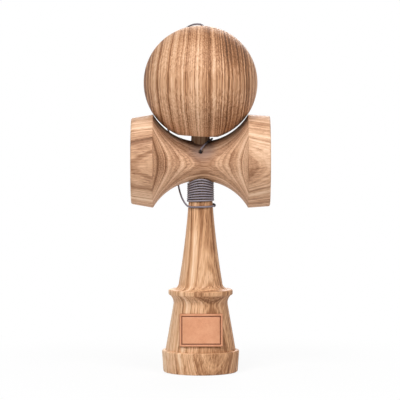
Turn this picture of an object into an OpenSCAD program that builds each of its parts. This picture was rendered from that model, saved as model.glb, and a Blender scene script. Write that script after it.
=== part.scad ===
// Kendama standing on its base cup: the tama rests on the spike, and the spare string is wound on the neck.
// The origin is the middle of the base on the floor, +Z runs up the ken,
// the front faces -Y and the big cup faces +X.

/* [Ken] */
// Radius of the rim that the toy stands on
foot_r = 19.7; // [18.7:0.1:21]
// Radius at the top of the base ring
base_r = 20.5; // [19.5:0.1:22]
// Height of the base ring
base_h = 11.6; // [9:0.1:15]
// Radius of the base cup at its rim
base_cup_r = 17.4; // [15:0.1:18]
// Depth of the base cup
base_cup_depth = 7.5; // [6:0.1:9]
// Radius of the skirt where it leaves the base ring
skirt_r = 18.6; // [17:0.1:19.4]
// Height of the skirt up to the throat
skirt_h = 24; // [21:0.5:30]
// Radius of the throat under the collar
throat_r = 14.4; // [13:0.1:15.4]
// Height of the flare from the throat to the collar
flare_h = 5.2; // [4:0.1:7]
// How far the flare is hollowed
flare_hollow = 0.7; // [0.3:0.1:1.2]
// Radius of the collar
collar_r = 17; // [16:0.1:18.5]
// Thickness of the collar
collar_h = 2.9; // [2:0.1:4]
// Width of the ledge on top of the collar
collar_ledge = 2.2; // [1.5:0.1:3]
// Height of the fillet between the ledge and the handle
fillet_h = 3.5; // [2.5:0.1:5]
// How far the fillet is hollowed
fillet_hollow = 0.9; // [0.4:0.1:1.2]
// Radius of the handle where it leaves the fillet
handle_r = 11.5; // [10.5:0.1:12.5]
// Height of the handle from the fillet to the neck
handle_h = 44.8; // [40:0.2:55]
// How far the handle is hollowed along its length
handle_hollow = 0.55; // [0.1:0.05:1]
// Radius of the neck where the handle ends
neck_r = 6.2; // [5.8:0.05:6.8]
// Height of the free neck under the sarado
neck_h = 9.25; // [8.5:0.05:14]
// Radius of the ken where it enters the sarado
seat_r = 6.05; // [5.6:0.05:6.4]
// Radius of the spike where it leaves the sarado
spike_r = 5.1; // [4.6:0.1:5.5]
// Height of the spike above the sarado
spike_h = 36; // [30:0.5:38]
// Radius of the rounded tip of the spike
tip_r = 2.3; // [1.5:0.1:3]
// How far from a corner the turned wood starts to round
edge = 0.8; // [0.3:0.1:1]

/* [Sarado] */
// Width of the sarado across its two cups
sarado_w = 73.2; // [68:0.2:80]
// Width of the round groove between the rims
groove_w = 50.2; // [46:0.2:54]
// Radius of the rims beside the groove
rim_r = 24.6; // [23:0.1:26]
// Radius of the waist at the bottom of the groove
waist_r = 10.3; // [9.5:0.1:11.5]
// Outer radius at the big cup
big_end_r = 23.8; // [23:0.1:25]
// Radius of the big cup at its rim
big_cup_r = 21.6; // [20:0.1:22]
// Depth of the big cup
big_cup_depth = 10.5; // [8:0.1:12]
// Outer radius at the small cup
small_end_r = 22.6; // [22:0.1:24]
// Radius of the small cup at its rim
small_cup_r = 19.8; // [18:0.1:20.5]
// Depth of the small cup
small_cup_depth = 9; // [7:0.1:10]
// Angle of the string hole above the front of the waist
string_hole_angle = 31; // [20:1:40]
// Diameter of the string hole
string_hole_d = 1.8; // [1.2:0.1:2]
// Diameter of the string hole at its countersunk mouth
string_hole_mouth_d = 2.8; // [2:0.1:3.4]
// Wood left between the knot's pocket and the waist
string_hole_wall = 1.2; // [1:0.1:1.5]

/* [Tama] */
// Diameter of the tama
tama_d = 60; // [58:0.5:64]
// Lean of the tama on the spike, towards the big cup
tama_tilt = 3; // [0:0.5:4]
// Radius of the flat around the mouth of the tama
tama_flat_r = 10.6; // [10.2:0.1:11.5]
// Radius of the mouth before its bevel
mouth_r = 10.1; // [9.4:0.1:10.2]
// Radius of the bore for the spike
bore_r = 9; // [8.5:0.1:9.4]
// Depth of the bore for the spike
bore_depth = 38; // [36:0.5:40]
// Rise of the cone at the end of the bore
bore_cone_h = 2; // [2:0.5:4]
// Depth of the narrower room for the bead, above the cone
bead_room_depth = 6; // [5:0.5:8]
// Diameter of the string hole in the top of the tama
top_hole_d = 3.6; // [3:0.1:4]
// Diameter of the same hole at its countersunk mouth
top_hole_mouth_d = 4.8; // [4:0.1:5.5]
// Diameter of the bead inside the tama
bead_d = 7; // [6.5:0.1:7.6]
// Diameter of the hole through the bead
bead_hole_d = 1.4; // [1.2:0.1:2]

/* [String] */
// Diameter of the string
string_d = 0.8; // [0.6:0.05:0.8]
// Number of turns wound on the neck
winding_turns = 8; // [5:1:8]
// Step from one turn to the next
winding_pitch = 1.215; // [1.215:0.005:1.25]
// How much higher the first turn lies at the front and back than at the sides
winding_rise = 1.9; // [0:0.1:2]
// Bare neck between the winding and the hitch under it
hitch_drop = 1.9; // [1:0.1:3]
// Diameter of each end knot
knot_d = 2.4; // [2:0.1:2.6]

/* [Badge] */
// Width of the leather badge
badge_w = 23; // [18:0.5:24]
// Height of the leather badge
badge_h = 17; // [14:0.5:18]
// Height of the badge's lower edge above the base ring
badge_rise = 3.4; // [2:0.2:5]
// Thickness of the leather
badge_t = 1; // [0.8:0.1:1.6]
// Distance of the pressed border line from the edge
border_inset = 1.1; // [1:0.1:2.5]
// Width of the pressed border line
border_w = 0.5; // [0.3:0.1:0.8]
// Depth of the pressed border line
border_depth = 0.3; // [0.2:0.05:0.4]

/* [Fits] */
// Radial clearance between the ken and the bore of the sarado
seat_clearance = 0.05; // [0.02:0.01:0.1]
// Gap between the tama and what it rests on
tama_gap = 0.2; // [0.2:0.05:0.6]
// Gap between the string and the wood that it lies on
string_gap = 0.1; // [0.05:0.05:0.2]
// Gap between a knot or the bead and its seat
knot_gap = 0.15; // [0.1:0.05:0.3]
// Clearance around a knot in its pocket
pocket_clearance = 0.3; // [0.2:0.05:0.5]
// Radial clearance around the bead in its room
bead_clearance = 0.7; // [0.4:0.1:1]
// Glue line under the badge
glue_gap = 0.05; // [0.03:0.01:0.1]

/* [Hidden] */
$fn = 96;

// Length that each cut runs past the solid that it cuts
overrun = 1;
// Straight steps in a rounded corner, and in a long round stretch of an outline
corner_steps = 5;
bow_steps = 10;
// Rings in a turn of the winding, sides of its tube and sides of the free string
turn_rings = 24;
turn_sides = 6;
string_sides = 8;

wood_colour = [0.80, 0.61, 0.45];
tama_colour = [0.84, 0.65, 0.49];
leather_colour = [0.91, 0.66, 0.51];
string_colour = [0.44, 0.39, 0.42];
bead_colour = [0.93, 0.87, 0.74];

// Heights up the ken
throat_z = base_h + skirt_h;
collar_z = throat_z + flare_h;
ledge_z = collar_z + collar_h;
handle_z = ledge_z + fillet_h;
neck_z = handle_z + handle_h;
seat_z = neck_z + neck_h;
axis_z = seat_z + waist_r;
saddle_z = axis_z + waist_r;
tip_z = saddle_z + spike_h;
ledge_r = collar_r - collar_ledge;

// The sarado's groove is a round cut through the rims and the waist
sarado_half = sarado_w / 2;
groove_half = groove_w / 2;
groove_depth = rim_r - waist_r;
groove_round = (groove_half ^ 2 + groove_depth ^ 2) / (2 * groove_depth);

// A knot is a ball with a flat, as wide as its radius, where the string leaves it
knot_flat = sqrt(knot_d ^ 2 - (knot_d / 2) ^ 2) / 2;
sarado_knot_t = waist_r - string_hole_wall - knot_gap;

// The parts of the tama lie along its own leaning axis, at these heights above its middle
tama_r = tama_d / 2;
tama_flat = sqrt(tama_r ^ 2 - tama_flat_r ^ 2);
room_r = bead_d / 2 + bead_clearance;
bore_top = bore_depth - tama_flat;
room_top = bore_top + bore_cone_h + bead_room_depth;
bead_h = room_top - sqrt((bead_d ^ 2 - top_hole_d ^ 2) / 4) - knot_gap;
tama_knot_h = bead_h - bead_d / 2 - knot_gap;

// The tama rests on what it meets first: the rims, the saddle, or the spike's tip under its knot
tama_reach = tama_r + tama_gap;
rims_rest = tama_reach > groove_half ? axis_z + rim_r + sqrt(tama_reach ^ 2 - groove_half ^ 2) : 0;
saddle_rest = saddle_z + tama_reach;
tip_rest = tip_z + tama_gap - tama_knot_h + knot_flat + knot_d / 2;
tama_z = max(rims_rest, saddle_rest, tip_rest);

// Unit vector along a vector
function unit(v) = v / norm(v);

// Points of a round stretch from p to q, without q, that dips to the left by hollow
function bow(p, q, hollow, steps = bow_steps) =
    let (
        half = norm(q - p) / 2,
        way = unit(q - p),
        left = [-way[1], way[0]],
        round_r = (half ^ 2 + hollow ^ 2) / (2 * hollow),
        swing = asin(half / round_r)
    )
    [
        for (i = [0 : steps - 1])
            let (turn = swing * (2 * i / steps - 1))
            (p + q) / 2 + round_r * sin(turn) * way + (round_r * cos(turn) - round_r + hollow) * left
    ];

// Points that round the corner c on the way from a to b, starting and ending at a distance from it
function ease(a, c, b, distance) =
    let (
        way_in = unit(c - a),
        way_out = unit(b - c),
        turn = atan2(cross(way_in, way_out), way_in * way_out),
        p = c - distance * way_in,
        q = c + distance * way_out
    )
    concat(bow(p, q, -norm(q - p) * tan(turn / 4) / 2, corner_steps), [q]);

// Points of a rectangle with its lower left corner at the given place, with rounded corners
function plate(x, y, w, h, corner) =
    let (c = [[x, y], [x + w, y], [x + w, y + h], [x, y + h]])
    [for (i = [0 : 3]) each ease(c[(i + 3) % 4], c[i], c[(i + 1) % 4], corner)];

// Outline of the handle and the neck, from the fillet to the sarado
handle_outline = concat(
    bow([handle_r, handle_z], [neck_r, neck_z], handle_hollow),
    [[neck_r, neck_z], [seat_r, seat_z]]
);

// Outline of the ken from the middle of its base to the tip of the spike
ken_outline = concat(
    [[0, 0]],
    ease([0, 0], [foot_r, 0], [base_r, base_h], edge),
    ease([foot_r, 0], [base_r, base_h], [skirt_r, base_h], edge),
    [[skirt_r, base_h]],
    bow([throat_r, throat_z], [collar_r - edge, collar_z], flare_hollow),
    ease([0, collar_z], [collar_r, collar_z], [collar_r, ledge_z], edge),
    ease([collar_r, collar_z], [collar_r, ledge_z], [0, ledge_z], edge),
    bow([ledge_r, ledge_z], [handle_r, handle_z], fillet_hollow),
    handle_outline,
    [[spike_r, saddle_z]],
    bow([tip_r, tip_z - tip_r], [0, tip_z], -tip_r * (1 - cos(45)), corner_steps),
    [[0, tip_z]]
);

// Radius of the ken's taper inside the sarado, carried on beyond it at the same slope
function seat_radius(z) = seat_r + (spike_r - seat_r) * (z - seat_z) / (saddle_z - seat_z);

// Radius of the handle and neck at a height
function neck_radius(z) = lookup(z, [for (p = handle_outline) [p[1], p[0]]]);

// Ball that hollows a cup into the floor of the frame, opening downwards
module cup(rim, depth) {
    dish_r = (rim ^ 2 + depth ^ 2) / (2 * depth);
    translate([0, 0, depth - dish_r])
        sphere(r = dish_r);
}

// Ken: base cup, skirt, collar, handle, neck and spike, turned from one piece
module ken() {
    color(wood_colour)
        difference() {
            rotate_extrude()
                polygon(ken_outline);
            cup(base_cup_r, base_cup_depth);
        }
}

// Conical layer over the skirt between two heights above its wood
module skirt_layer(inner, outer) {
    difference() {
        translate([0, 0, base_h])
            cylinder(r1 = skirt_r + outer, r2 = throat_r + outer, h = skirt_h);
        translate([0, 0, base_h])
            cylinder(r1 = skirt_r + inner, r2 = throat_r + inner, h = skirt_h);
    }
}

// Upright prism towards the front, with the outline of the badge drawn in by inset
module badge_prism(inset) {
    rotate([90, 0, 0])
        linear_extrude(height = base_r + badge_t)
            polygon(plate(
                inset - badge_w / 2, base_h + badge_rise + inset,
                badge_w - 2 * inset, badge_h - 2 * inset, edge
            ));
}

// Leather badge glued round the front of the skirt, with a pressed border line
module leather_badge() {
    color(leather_colour)
        difference() {
            intersection() {
                skirt_layer(glue_gap, glue_gap + badge_t);
                badge_prism(0);
            }
            intersection() {
                skirt_layer(glue_gap + badge_t - border_depth, glue_gap + badge_t + overrun);
                difference() {
                    badge_prism(border_inset);
                    badge_prism(border_inset + border_w);
                }
            }
        }
}

// Spool of the sarado, turned about its own axis with the big cup's end up
module spool() {
    outline = concat(
        [[0, -sarado_half]],
        ease([0, -sarado_half], [small_end_r, -sarado_half], [rim_r, -groove_half], edge),
        [[rim_r, -groove_half], [rim_r, groove_half]],
        ease([rim_r, groove_half], [big_end_r, sarado_half], [0, sarado_half], edge),
        [[0, sarado_half]]
    );
    rotate_extrude()
        difference() {
            polygon(outline);
            translate([waist_r + groove_round, 0])
                circle(r = groove_round);
        }
}

// Stepped hole for the string, along +Z from the middle of the sarado
module string_hole() {
    sink = (string_hole_mouth_d - string_hole_d) / 2;
    cylinder(d = knot_d + 2 * pocket_clearance, h = waist_r - string_hole_wall);
    cylinder(d = string_hole_d, h = waist_r + overrun);
    translate([0, 0, waist_r - sink])
        cylinder(d1 = string_hole_d, d2 = string_hole_mouth_d + 2 * overrun, h = sink + overrun);
}

// Sarado: the cross piece with the big and small cups, bored for the ken
module sarado() {
    color(wood_colour)
        translate([0, 0, axis_z])
            difference() {
                rotate([0, 90, 0])
                    spool();
                translate([sarado_half, 0, 0])
                    rotate([0, -90, 0])
                        cup(big_cup_r, big_cup_depth);
                translate([-sarado_half, 0, 0])
                    rotate([0, 90, 0])
                        cup(small_cup_r, small_cup_depth);
                translate([0, 0, -rim_r])
                    cylinder(
                        r1 = seat_radius(axis_z - rim_r) + seat_clearance,
                        r2 = seat_radius(axis_z + rim_r) + seat_clearance,
                        h = 2 * rim_r
                    );
                rotate([90 - string_hole_angle, 0, 0])
                    string_hole();
            }
}

// Places its children at a height along the leaning axis of the tama
module on_tama_axis(h) {
    translate([0, 0, tama_z])
        rotate([0, tama_tilt, 0])
            translate([0, 0, h])
                children();
}

// Tama: the ball, with the bevelled bore for the spike, the room for the bead and the string hole
module tama() {
    sink = (top_hole_mouth_d - top_hole_d) / 2;
    hollow = [
        [0, -tama_r - overrun], [tama_r, -tama_r - overrun],
        [tama_r, -tama_flat], [mouth_r, -tama_flat],
        [bore_r, mouth_r - bore_r - tama_flat], [bore_r, bore_top],
        [room_r, bore_top + bore_cone_h], [room_r, room_top],
        [top_hole_d / 2, room_top], [top_hole_d / 2, tama_r - sink],
        [top_hole_mouth_d / 2 + overrun, tama_r + overrun], [0, tama_r + overrun]
    ];
    color(tama_colour)
        on_tama_axis(0)
            difference() {
                sphere(r = tama_r);
                rotate_extrude()
                    polygon(hollow);
            }
}

// Bead inside the tama that stops the string from pulling out
module tama_bead() {
    color(bead_colour)
        on_tama_axis(bead_h)
            difference() {
                sphere(d = bead_d);
                translate([0, 0, -bead_d])
                    cylinder(d = bead_hole_d, h = 2 * bead_d);
            }
}

// End knot with its flat on the origin, where the string runs off along +Z
module knot() {
    difference() {
        translate([0, 0, -knot_flat])
            sphere(d = knot_d);
        cylinder(d = knot_d, h = knot_d);
    }
}

// Knot under the bead
module tama_knot() {
    color(string_colour)
        on_tama_axis(tama_knot_h)
            knot();
}

// Knot in its pocket between the ken and the wall of the sarado
module sarado_knot() {
    color(string_colour)
        translate([0, 0, axis_z])
            rotate([90 - string_hole_angle, 0, 0])
                translate([0, 0, sarado_knot_t])
                    knot();
}

// Points along the string hole of the sarado and along the axis of the tama
function hole_point(t) = [0, -t * cos(string_hole_angle), axis_z + t * sin(string_hole_angle)];
function tama_point(h) = [h * sin(tama_tilt), 0, tama_z + h * cos(tama_tilt)];

// Winding: from the back of the neck to the right, the front and the left, going down,
// with a last wider step to the hitch, which ends on the front left
hitch_turns = 0.6;
hitch_step_turns = 0.5;
winding_rings = round((winding_turns + hitch_turns) * turn_rings);
winding_top = seat_z - string_d - winding_pitch / 2;
function winding_angle(turns) = 90 - 360 * turns;
function soft_step(share) = share < 0 ? 0 : share > 1 ? 1 : share ^ 2 * (3 - 2 * share);
function winding_z(turns) =
    winding_top - winding_pitch * turns
    + winding_rise * max(0, 1 - turns / winding_turns) * sin(winding_angle(turns)) ^ 2
    - hitch_drop * soft_step((turns - winding_turns) / hitch_step_turns);
function winding_point(turns) =
    let (
        z = winding_z(turns),
        r = neck_radius(z) + string_gap + string_d / 2,
        angle = winding_angle(turns)
    )
    [r * cos(angle), r * sin(angle), z];
function winding_way(turns) = [sin(winding_angle(turns)), -cos(winding_angle(turns)), 0];
winding_last = winding_rings / turn_rings;
winding_start = winding_point(0) - string_d * winding_way(0);
winding_end = winding_point(winding_last) + string_d * winding_way(winding_last);
winding_route = concat(
    [winding_start],
    [for (i = [0 : winding_rings]) winding_point(i / turn_rings)],
    [winding_end]
);

// Least gap of the winding to itself, between rings at least half a turn apart
winding_gap = min([
    for (i = [0 : winding_rings], j = [i + turn_rings / 2 : 1 : winding_rings])
        norm(winding_route[i + 1] - winding_route[j + 1])
]) - string_d;
echo(least_gap_of_the_winding = winding_gap);

// Lead: out of the sarado's string hole, over the saddle beside the spike and down the back to the winding
lead_route = concat(
    [hole_point(sarado_knot_t), hole_point(waist_r + string_d / 2)],
    [
        [0.2, -9.4, 118.0], [0.9, -8.7, 119.2], [2.2, -7.4, 120.6], [3.7, -5.6, 122.0],
        [5.2, -3.2, 123.0], [6.1, -0.4, 123.4], [5.9, 2.6, 123.0], [4.9, 5.2, 121.9],
        [3.5, 7.7, 119.9], [2.0, 9.7, 117.2], [0.6, 10.9, 113.8], [-0.8, 11.2, 110.4],
        [-2.2, 10.5, 107.0], [-3.4, 9.2, 104.6], [-3.9, 7.9, 103.1], [-3.0, 6.9, 102.3]
    ],
    [winding_start - string_d * winding_way(0), winding_start]
);

// Tether: from the hitch up behind the sarado, then behind the tama, over its top and down to the bead
tether_lower_route = concat(
    [winding_end, winding_end + string_d * winding_way(winding_last)],
    [
        [-6.8, -3.7, 88.0], [-7.9, -2.7, 89.0], [-8.9, -1.6, 90.4], [-9.9, -0.2, 92.2],
        [-10.8, 2.0, 94.6], [-11.4, 4.9, 96.8], [-11.9, 8.4, 99.2], [-12.4, 12.0, 102.6],
        [-13.0, 15.0, 107.0], [-13.7, 16.8, 112.0], [-14.6, 17.6, 117.0],
        [-15.9, 17.9, 122.2], [-17.0, 18.2, 126.6]
    ]
);
tether_upper_route = concat(
    [
        [-17.0, 18.2, 126.6], [-18.1, 18.5, 131.0], [-19.0, 20.0, 135.6], [-19.4, 22.4, 140.6],
        [-19.2, 24.4, 146.0], [-18.6, 25.4, 151.6], [-17.6, 25.6, 157.2], [-16.3, 24.8, 162.8],
        [-14.7, 22.8, 168.2], [-12.8, 19.4, 173.4], [-10.7, 15.2, 177.7], [-8.6, 10.9, 180.8],
        [-6.5, 7.0, 182.4], [-4.5, 4.0, 183.3], [-2.8, 2.0, 183.7], [-1.2, 0.8, 183.75],
        [0.4, 0.15, 183.4]
    ],
    [tama_point(tama_r - string_d / 2), tama_point(room_top), tama_point(bead_h), tama_point(tama_knot_h)]
);

// Tube swept along a route, with a ring of sides at every point and flat ends
module tube(route, sides) {
    last = len(route) - 1;
    ways = [
        for (i = [0 : last])
            unit(
                (i > 0 ? unit(route[i] - route[i - 1]) : [0, 0, 0])
                + (i < last ? unit(route[i + 1] - route[i]) : [0, 0, 0])
            )
    ];
    first_side = unit(cross(ways[0], abs(ways[0][2]) < cos(45) ? [0, 0, 1] : [1, 0, 0]));
    outward = [
        for (i = 0, side = first_side; i <= last; i = i + 1,
             side = i > last ? side : unit(side - side * ways[i] * ways[i]))
            side
    ];
    points = [
        for (i = [0 : last], k = [0 : sides - 1])
            let (angle = 360 * k / sides)
            route[i] + string_d / 2 * (cos(angle) * outward[i] + sin(angle) * cross(ways[i], outward[i]))
    ];
    walls = [
        for (i = [0 : last - 1], k = [0 : sides - 1])
            let (
                a = i * sides + k,
                b = i * sides + (k + 1) % sides
            )
            each [[a, a + sides, b + sides], [a, b + sides, b]]
    ];
    ends = [
        for (k = [1 : sides - 2])
            each [[0, k, k + 1], [last * sides, last * sides + k + 1, last * sides + k]]
    ];
    polyhedron(points, concat(walls, ends));
}

// String: the lead, the winding with its hitch, and the two stretches of the tether
module string_lead() {
    color(string_colour)
        tube(lead_route, string_sides);
}

module string_winding() {
    color(string_colour)
        tube(winding_route, turn_sides);
}

module string_tether_lower() {
    color(string_colour)
        tube(tether_lower_route, string_sides);
}

module string_tether_upper() {
    color(string_colour)
        tube(tether_upper_route, string_sides);
}

ken();
leather_badge();
sarado();
tama();
tama_bead();
tama_knot();
sarado_knot();
string_lead();
string_winding();
string_tether_lower();
string_tether_upper();
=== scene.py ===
"""Looks of a wooden kendama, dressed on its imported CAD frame: wood, leather and a braided string."""

import math

import bpy
import numpy as np
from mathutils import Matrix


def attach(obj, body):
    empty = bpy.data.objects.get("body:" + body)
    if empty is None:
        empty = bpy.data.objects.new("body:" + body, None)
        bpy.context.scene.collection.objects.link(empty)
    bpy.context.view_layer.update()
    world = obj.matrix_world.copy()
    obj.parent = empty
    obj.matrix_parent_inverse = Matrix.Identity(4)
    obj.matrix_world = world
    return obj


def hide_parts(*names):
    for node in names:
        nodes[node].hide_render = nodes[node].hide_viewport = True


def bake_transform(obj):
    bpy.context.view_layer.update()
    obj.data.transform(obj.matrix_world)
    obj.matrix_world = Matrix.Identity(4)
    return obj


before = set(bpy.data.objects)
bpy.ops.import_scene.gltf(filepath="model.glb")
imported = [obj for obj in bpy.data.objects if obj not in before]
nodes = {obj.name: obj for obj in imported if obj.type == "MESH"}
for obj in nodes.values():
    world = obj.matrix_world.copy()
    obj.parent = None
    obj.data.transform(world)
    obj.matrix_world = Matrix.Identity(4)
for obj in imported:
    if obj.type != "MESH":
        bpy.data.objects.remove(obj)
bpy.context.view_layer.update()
scene = bpy.context.scene

# Metres in a millimetre: lengths are in millimetres unless a comment says metres
MM = 0.001

# Camera at the photograph's viewing angle: lens, place in metres and dip below level in degrees
CAMERA_LENS = 234.7
CAMERA_PLACE = (-0.0003, -1.3758, 0.1703)
CAMERA_DIP = 3.3

camera_data = bpy.data.cameras.new("camera")
camera_data.sensor_width = 36
camera_data.lens = CAMERA_LENS
camera = bpy.data.objects.new("camera", camera_data)
camera.location = CAMERA_PLACE
camera.rotation_euler = (math.radians(90 - CAMERA_DIP), 0, 0)
scene.collection.objects.link(camera)
scene.camera = camera

# Sizes of the CAD source that the string follows: cross piece, handle and ball
AXIS_Z = 111.55
SEAT_Z, SEAT_R = 101.25, 6.05
NECK_Z, NECK_R = 92.0, 6.2
HANDLE_Z, HANDLE_R = 47.2, 11.5
HANDLE_HOLLOW, HANDLE_STEPS = 0.55, 10
TAMA_Z = 152.944
TAMA_TILT = math.radians(3)
HOLE_ANGLE = math.radians(31)
# Places along the string's hole in the cross piece, from its axis
KNOT_IN_HOLE, STRING_FROM, HOLE_MOUTH = 7.911, 8.95, 10.7
# Places along the ball's own axis, from its middle
KNOT_H, BEAD_LOW_H, BEAD_H, BEAD_TOP_H, BALL_TOP_H = 10.094, 11.133, 14.783, 17.935, 29.6

# Winding of the string round the neck, and the hitch below it that locks it. Its turns lie closer than
# the source's, and the source's thickness of the string sets how far it keeps off the wood
STRING_D = 0.8
NECK_GAP = 0.1
PITCH = 1.094
TURNS = 9
WINDING_TOP = 100.17
WINDING_RISE = 2.6
HITCH_DROP = 2.1
HITCH_STEP_TURNS = 0.36
HITCH_TURNS = 0.6
SOURCE_TURN_STEPS = 24
TURN_STEPS = 48

# Visible string: its half thickness, what its wound turns gain along the neck and off it,
# where it tightens and loosens, the distance between samples, the sides of its tube, and the texture's
# units in a millimetre
STRING_R = 0.47
WOUND_SPREAD, WOUND_SWELL = 0.075, 0.03
TIGHTEN_BEFORE, TIGHTEN_OVER = 2, 6
LOOSEN_BEFORE, LOOSEN_OVER = 3, 8
LINE_STEP = 0.4
STRING_SIDES = 12
STRING_UV = 0.1


def unit(v):
    """Vector of length 1 in the same direction."""
    return v / np.linalg.norm(v)


def soft_step(share):
    """Smooth rise from 0 to 1."""
    share = min(max(share, 0), 1)
    return share**2 * (3 - 2 * share)


def bow(p, q, hollow, steps):
    """Points of a round stretch from p to q that dips to the left by hollow."""
    p, q = np.array(p, float), np.array(q, float)
    half = np.linalg.norm(q - p) / 2
    way = unit(q - p)
    left = np.array([-way[1], way[0]])
    radius = (half**2 + hollow**2) / (2 * hollow)
    turns = np.linspace(-1, 1, steps + 1) * math.asin(half / radius)
    return [
        (p + q) / 2 + radius * math.sin(t) * way + (radius * math.cos(t) - radius + hollow) * left
        for t in turns
    ]


def smooth_line(points, step):
    """Rounded line through the points, with samples about step apart."""
    points = np.array(points, float)
    padded = np.vstack([2 * points[0] - points[1], points, 2 * points[-1] - points[-2]])
    line = []
    for i in range(len(points) - 1):
        a, b, c, d = padded[i : i + 4]
        knots = np.cumsum([0] + [math.sqrt(np.linalg.norm(v)) for v in (b - a, c - b, d - c)])
        count = max(1, round(np.linalg.norm(c - b) / step))
        for t in np.linspace(knots[1], knots[2], count, endpoint=False):
            ab = ((knots[1] - t) * a + (t - knots[0]) * b) / (knots[1] - knots[0])
            bc = ((knots[2] - t) * b + (t - knots[1]) * c) / (knots[2] - knots[1])
            cd = ((knots[3] - t) * c + (t - knots[2]) * d) / (knots[3] - knots[2])
            abc = ((knots[2] - t) * ab + (t - knots[0]) * bc) / (knots[2] - knots[0])
            bcd = ((knots[3] - t) * bc + (t - knots[1]) * cd) / (knots[3] - knots[1])
            line.append(((knots[2] - t) * abc + (t - knots[1]) * bcd) / (knots[2] - knots[1]))
    line.append(points[-1])
    return np.array(line)


def lengths_along(line):
    """Length of a line up to each of its points."""
    return np.concatenate([[0], np.cumsum(np.linalg.norm(np.diff(line, axis=0), axis=1))])


def carried(line, first):
    """A side vector at each point of a line, carried along it from the first one without twist."""
    sides = [np.array(first, float)]
    for i in range(1, len(line)):
        way = unit(line[min(i + 1, len(line) - 1)] - line[i - 1])
        side = sides[-1] - sides[-1] @ way * way
        sides.append(unit(side))
    return np.array(sides)


def hole_point(t):
    """Point on the middle of the string's hole, t out from the cross piece's axis."""
    return [0, -t * math.cos(HOLE_ANGLE), AXIS_Z + t * math.sin(HOLE_ANGLE)]


def tama_point(h):
    """Point on the ball's own axis, h above its middle."""
    return [h * math.sin(TAMA_TILT), 0, TAMA_Z + h * math.cos(TAMA_TILT)]


# Outline of the handle's upper part, which the winding lies on
outline = bow([HANDLE_R, HANDLE_Z], [NECK_R, NECK_Z], HANDLE_HOLLOW, HANDLE_STEPS)
outline.append(np.array([SEAT_R, SEAT_Z]))
outline_r = [p[0] for p in outline]
outline_z = [p[1] for p in outline]


def winding_angle(turns):
    """Direction of the winding from the neck's axis: it starts at the back and runs to the right."""
    return math.radians(90 - 360 * turns)


def winding_point(turns):
    """Point of the winding after so many turns down the neck. Its upper turns rise at front and back."""
    angle = winding_angle(turns)
    z = WINDING_TOP - PITCH * turns
    z += WINDING_RISE * max(0, 1 - turns / TURNS) * math.sin(angle) ** 2
    z -= HITCH_DROP * soft_step((turns - TURNS) / HITCH_STEP_TURNS)
    r = np.interp(z, outline_z, outline_r) + NECK_GAP + STRING_D / 2
    return np.array([r * math.cos(angle), r * math.sin(angle), z])


def winding_way(turns):
    """Level direction that the winding runs in."""
    angle = winding_angle(turns)
    return np.array([math.sin(angle), -math.cos(angle), 0])


# Routes of the string: from its hole over the saddle to the winding, from the hitch up behind the
# cross piece, and from there over the ball to the bead inside it
LAST_TURN = round((TURNS + HITCH_TURNS) * SOURCE_TURN_STEPS) / SOURCE_TURN_STEPS
winding_start = winding_point(0) - STRING_D * winding_way(0)
winding_end = winding_point(LAST_TURN) + STRING_D * winding_way(LAST_TURN)
lead_points = [
    hole_point(STRING_FROM), hole_point(HOLE_MOUTH),
    [0.2, -9.4, 118.0], [0.9, -8.7, 119.2], [2.2, -7.4, 120.6], [3.7, -5.6, 122.0],
    [5.2, -3.2, 123.0], [6.1, -0.4, 123.4], [5.9, 2.6, 123.0], [4.9, 5.2, 121.9],
    [3.5, 7.7, 119.9], [2.0, 9.7, 117.2], [0.6, 10.9, 113.8], [-0.8, 11.2, 110.4],
    [-2.2, 10.5, 107.0], [-3.4, 9.2, 104.6], [-3.9, 7.9, 103.1], [-3.0, 6.9, 102.3],
    winding_start - STRING_D * winding_way(0), winding_start,
]
tether_lower_points = [
    winding_end, winding_end + STRING_D * winding_way(LAST_TURN),
    [-6.8, -3.7, 88.0], [-7.9, -2.7, 89.0], [-8.9, -1.6, 90.4], [-9.9, -0.2, 92.2],
    [-10.8, 2.0, 94.6], [-11.4, 4.9, 96.8], [-11.9, 8.4, 99.2], [-12.4, 12.0, 102.6],
    [-13.0, 15.0, 107.0], [-13.7, 16.8, 112.0], [-14.6, 17.6, 117.0],
    [-15.9, 17.9, 122.2], [-17.0, 18.2, 126.6],
]
tether_upper_points = [
    [-17.0, 18.2, 126.6], [-18.1, 18.5, 131.0], [-19.0, 20.0, 135.6], [-19.4, 22.4, 140.6],
    [-19.2, 24.4, 146.0], [-18.6, 25.4, 151.6], [-17.6, 25.6, 157.2], [-16.3, 24.8, 162.8],
    [-14.7, 22.8, 168.2], [-12.8, 19.4, 173.4], [-10.7, 15.2, 177.7], [-8.6, 10.9, 180.8],
    [-6.5, 7.0, 182.4], [-4.5, 4.0, 183.3], [-2.8, 2.0, 183.7], [-1.2, 0.8, 183.75], [0.4, 0.15, 183.4],
    tama_point(BALL_TOP_H), tama_point(BEAD_TOP_H), tama_point(BEAD_H), tama_point(BEAD_LOW_H),
]


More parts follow.
